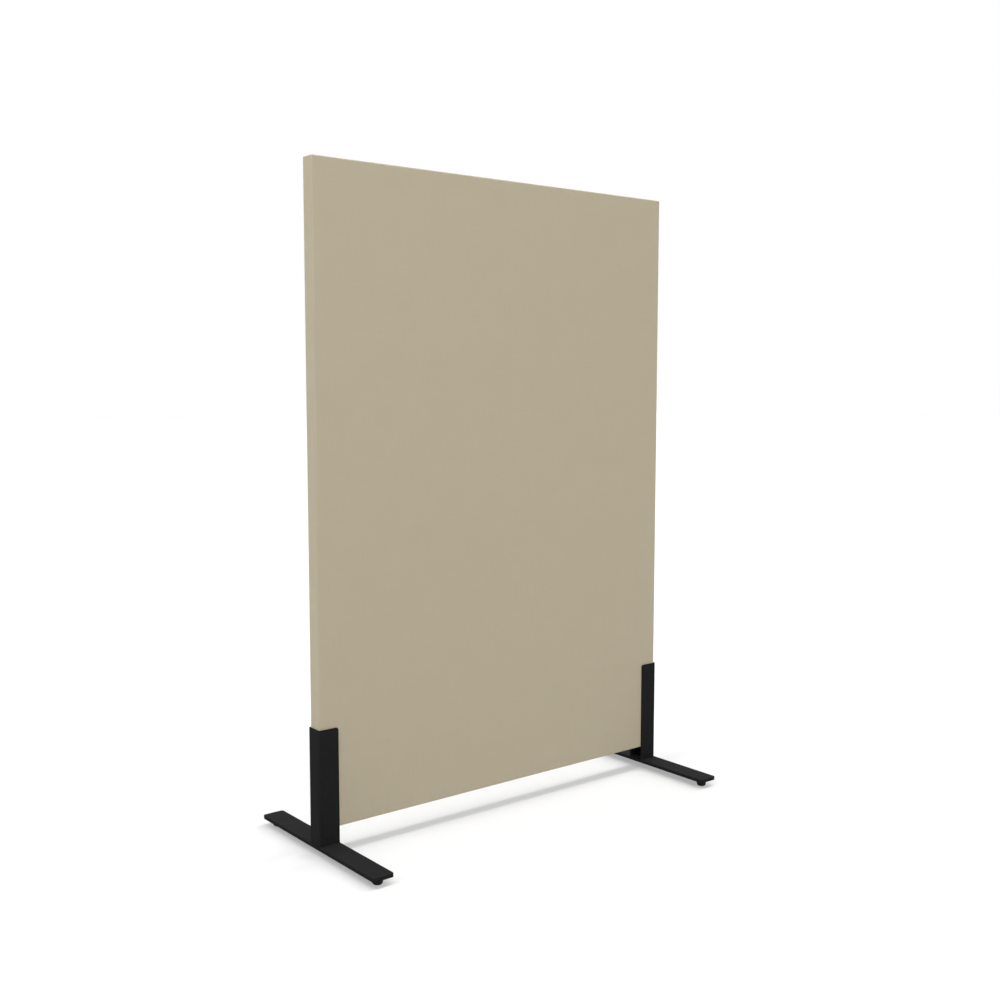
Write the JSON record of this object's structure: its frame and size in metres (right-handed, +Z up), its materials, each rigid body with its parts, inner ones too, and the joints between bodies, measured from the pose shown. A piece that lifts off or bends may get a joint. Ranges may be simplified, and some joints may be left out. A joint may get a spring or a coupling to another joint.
{
  "type": "free-standing acoustic screen",
  "caption": "Tall flat acoustic panel in stretched cloth, standing on T-shaped steel feet with levelling glides, to divide a room and soften its sound.",
  "frame": {"origin": "on the floor, under the middle of the screen", "axes": "+X along the panel to the right foot, -Y the pictured front, +Z up"},
  "size_m": [1.0106, 0.46, 1.457],
  "materials": {
    "cover_cloth": "matte",
    "wadding_felt": "matte",
    "absorber_board": "matte",
    "frame_timber": "matte",
    "closing_plastic": "matte",
    "powder_coated_steel": "matte",
    "black_screws": "satin",
    "zinc_plated_screws": "satin",
    "insert_brass": "satin",
    "seat_felt": "matte",
    "glide_nylon": "satin",
    "glide_rubber": "matte"
  },
  "bodies": {
    "root": {"fabric_cover": "cover_cloth", "front_wadding": "wadding_felt", "back_wadding": "wadding_felt", "upper_absorber": "absorber_board", "lower_absorber": "absorber_board", "top_rail": "frame_timber", "middle_rail": "frame_timber", "bottom_rail": "frame_timber", "left_stile": "frame_timber", "right_stile": "frame_timber", "frame_screws": "zinc_plated_screws", "closing_strip": "closing_plastic", "left_inserts": "insert_brass", "left_channel": "powder_coated_steel", "left_channel_screws": "black_screws", "left_seat_pad": "seat_felt", "left_seat_plate": "powder_coated_steel", "left_foot_plate": "powder_coated_steel", "left_base_bar": "powder_coated_steel", "left_bar_screws": "black_screws", "right_inserts": "insert_brass", "right_channel": "powder_coated_steel", "right_channel_screws": "black_screws", "right_seat_pad": "seat_felt", "right_seat_plate": "powder_coated_steel", "right_foot_plate": "powder_coated_steel", "right_base_bar": "powder_coated_steel", "right_bar_screws": "black_screws"},
    "front_left_glide": {"front_left_glide_pad": "glide_nylon", "front_left_glide_sole": "glide_rubber"},
    "front_left_stud": {"front_left_glide_stud": "zinc_plated_screws"},
    "front_right_glide": {"front_right_glide_pad": "glide_nylon", "front_right_glide_sole": "glide_rubber"},
    "front_right_stud": {"front_right_glide_stud": "zinc_plated_screws"},
    "back_left_glide": {"back_left_glide_pad": "glide_nylon", "back_left_glide_sole": "glide_rubber"},
    "back_left_stud": {"back_left_glide_stud": "zinc_plated_screws"},
    "back_right_glide": {"back_right_glide_pad": "glide_nylon", "back_right_glide_sole": "glide_rubber"},
    "back_right_stud": {"back_right_glide_stud": "zinc_plated_screws"}
  },
  "joints": [
    {"name": "front_left_height", "type": "slide", "parent": "root", "child": "front_left_glide", "axis": [0, 0, -1], "range_m": [0, 0.0025]},
    {"name": "front_left_turn", "type": "hinge", "parent": "front_left_glide", "child": "front_left_stud", "pos_m": [-0.4803, -0.2065, 0.006], "axis": [0, 0, -1], "range_deg": [0, 720]},
    {"name": "front_right_height", "type": "slide", "parent": "root", "child": "front_right_glide", "axis": [0, 0, -1], "range_m": [0, 0.0025]},
    {"name": "front_right_turn", "type": "hinge", "parent": "front_right_glide", "child": "front_right_stud", "pos_m": [0.4803, -0.2065, 0.006], "axis": [0, 0, -1], "range_deg": [0, 720]},
    {"name": "back_left_height", "type": "slide", "parent": "root", "child": "back_left_glide", "axis": [0, 0, -1], "range_m": [0, 0.0025]},
    {"name": "back_left_turn", "type": "hinge", "parent": "back_left_glide", "child": "back_left_stud", "pos_m": [-0.4803, 0.2065, 0.006], "axis": [0, 0, -1], "range_deg": [0, 720]},
    {"name": "back_right_height", "type": "slide", "parent": "root", "child": "back_right_glide", "axis": [0, 0, -1], "range_m": [0, 0.0025]},
    {"name": "back_right_turn", "type": "hinge", "parent": "back_right_glide", "child": "back_right_stud", "pos_m": [0.4803, 0.2065, 0.006], "axis": [0, 0, -1], "range_deg": [0, 720]}
  ],
  "couplings": [
    {"joint": "front_left_turn", "follows": "front_left_height", "rad_per_m": 5026.5},
    {"joint": "front_right_turn", "follows": "front_right_height", "rad_per_m": 5026.5},
    {"joint": "back_left_turn", "follows": "back_left_height", "rad_per_m": 5026.5},
    {"joint": "back_right_turn", "follows": "back_right_height", "rad_per_m": 5026.5}
  ]
}
